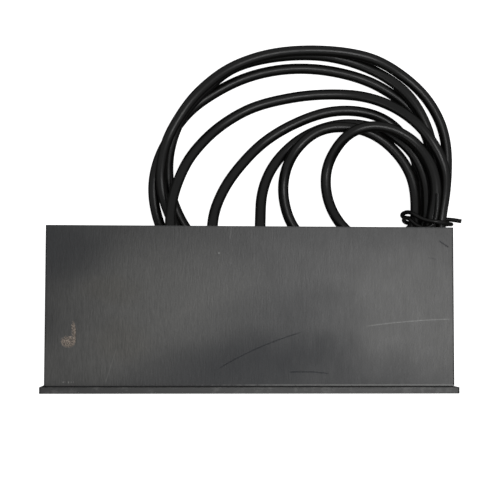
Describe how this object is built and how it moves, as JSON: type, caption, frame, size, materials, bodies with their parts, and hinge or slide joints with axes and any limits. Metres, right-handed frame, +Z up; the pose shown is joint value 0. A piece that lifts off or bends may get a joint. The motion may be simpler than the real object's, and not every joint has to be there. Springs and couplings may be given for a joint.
{
  "type": "cellular signal booster",
  "caption": "Desktop cellular signal booster: extruded metal case with a rear hood, flush controls, glands and captive antenna and power leads tied in loops.",
  "frame": {"origin": "on the resting surface, under the middle of the unit's outline, with the leads left out", "axes": "+X to the right seen from the front, +Y to the rear panel, +Z up"},
  "size_m": [0.1957, 0.163, 0.0449],
  "materials": {
    "case_metal": "satin dark grey paint over extruded aluminium, fine lengthwise grain",
    "plate_metal": "satin dark grey, fine horizontal brushing",
    "rear_metal": "fine powder coat",
    "black_rubber": "matte",
    "lead_jacket": "satin PVC jacket",
    "black_steel": "black oxide",
    "bright_steel": "zinc plated",
    "nickel": "nickel plated brass",
    "gold_plate": "thin gold plate",
    "brass": "plain brass",
    "board_green": "solder mask",
    "chip_black": "moulded epoxy",
    "bare_aluminium": "machined",
    "tinned_steel": "tin plate",
    "ceramic": "glazed, silver plated",
    "thermal_pad": "soft gap pad",
    "black_plastic": "fine spark texture",
    "blue_plastic": "moulded",
    "clear_plastic": "moulded light pipe",
    "led_green": "tinted epoxy",
    "white_dielectric": "PTFE"
  },
  "bodies": {
    "unit": {"housing": "case_metal", "front_plate": "plate_metal", "front_gasket": "black_rubber", "rear_panel": "rear_metal", "front_screws": "black_steel", "rear_screws": "black_steel", "foot_front_left": "black_rubber", "foot_front_right": "black_rubber", "foot_rear_left": "black_rubber", "foot_rear_right": "black_rubber", "foot_screws": "bright_steel", "main_board": "board_green", "board_chips": "chip_black", "uplink_amplifier": "ceramic", "downlink_amplifier": "ceramic", "thermal_pads": "thermal_pad", "heat_spreader": "bare_aluminium", "uplink_shield": "tinned_steel", "downlink_shield": "tinned_steel", "outdoor_duplexer": "ceramic", "indoor_duplexer": "ceramic", "power_inductor": "chip_black", "filter_capacitors": "chip_black", "control_board": "board_green", "board_header": "black_plastic", "status_leds": "led_green", "light_pipes": "clear_plastic", "power_switch": "black_plastic", "uplink_potentiometer": "blue_plastic", "downlink_potentiometer": "blue_plastic", "lead_sockets": "gold_plate", "inner_tails": "white_dielectric", "gland_bodies": "nickel", "gland_lock_nuts": "nickel", "gland_caps": "nickel", "outdoor_lead_boot": "black_rubber", "indoor_lead_boot": "black_rubber", "power_lead_boot": "black_rubber", "ground_stud": "brass", "ground_nuts": "bright_steel", "ground_washer": "bright_steel", "outdoor_lead": "lead_jacket", "indoor_lead": "lead_jacket", "power_lead": "lead_jacket", "outdoor_plug_body": "gold_plate", "outdoor_plug_contact": "white_dielectric", "indoor_plug_body": "gold_plate", "indoor_plug_contact": "white_dielectric", "power_plug_handle": "black_plastic", "power_plug_barrel": "nickel", "wire_tie": "lead_jacket"},
    "power_button": {"power_button": "black_plastic"},
    "uplink_gain_knob": {"uplink_gain_knob": "black_plastic"},
    "downlink_gain_knob": {"downlink_gain_knob": "black_plastic"},
    "outdoor_coupling_nut": {"outdoor_coupling_nut": "gold_plate"},
    "indoor_coupling_nut": {"indoor_coupling_nut": "gold_plate"}
  },
  "joints": [
    {"name": "power_button_press", "type": "slide", "parent": "unit", "child": "power_button", "axis": [0, 1, 0], "range_m": [0, 0.0018], "stiffness_N_per_m": 300, "springref_m": -0.001},
    {"name": "uplink_gain_turn", "type": "hinge", "parent": "unit", "child": "uplink_gain_knob", "pos_m": [-0.032, -0.03, 0.024], "axis": [0, 1, 0], "range_deg": [-135, 135]},
    {"name": "downlink_gain_turn", "type": "hinge", "parent": "unit", "child": "downlink_gain_knob", "pos_m": [0.032, -0.03, 0.024], "axis": [0, 1, 0], "range_deg": [-135, 135]},
    {"name": "outdoor_nut_spin", "type": "hinge", "parent": "unit", "child": "outdoor_coupling_nut", "pos_m": [0.048, 0.0144, 0.0098], "axis": [1, 0, 0], "continuous": true},
    {"name": "indoor_nut_spin", "type": "hinge", "parent": "unit", "child": "indoor_coupling_nut", "pos_m": [0.034, 0.0252, 0.0098], "axis": [1, 0, 0], "continuous": true}
  ]
}
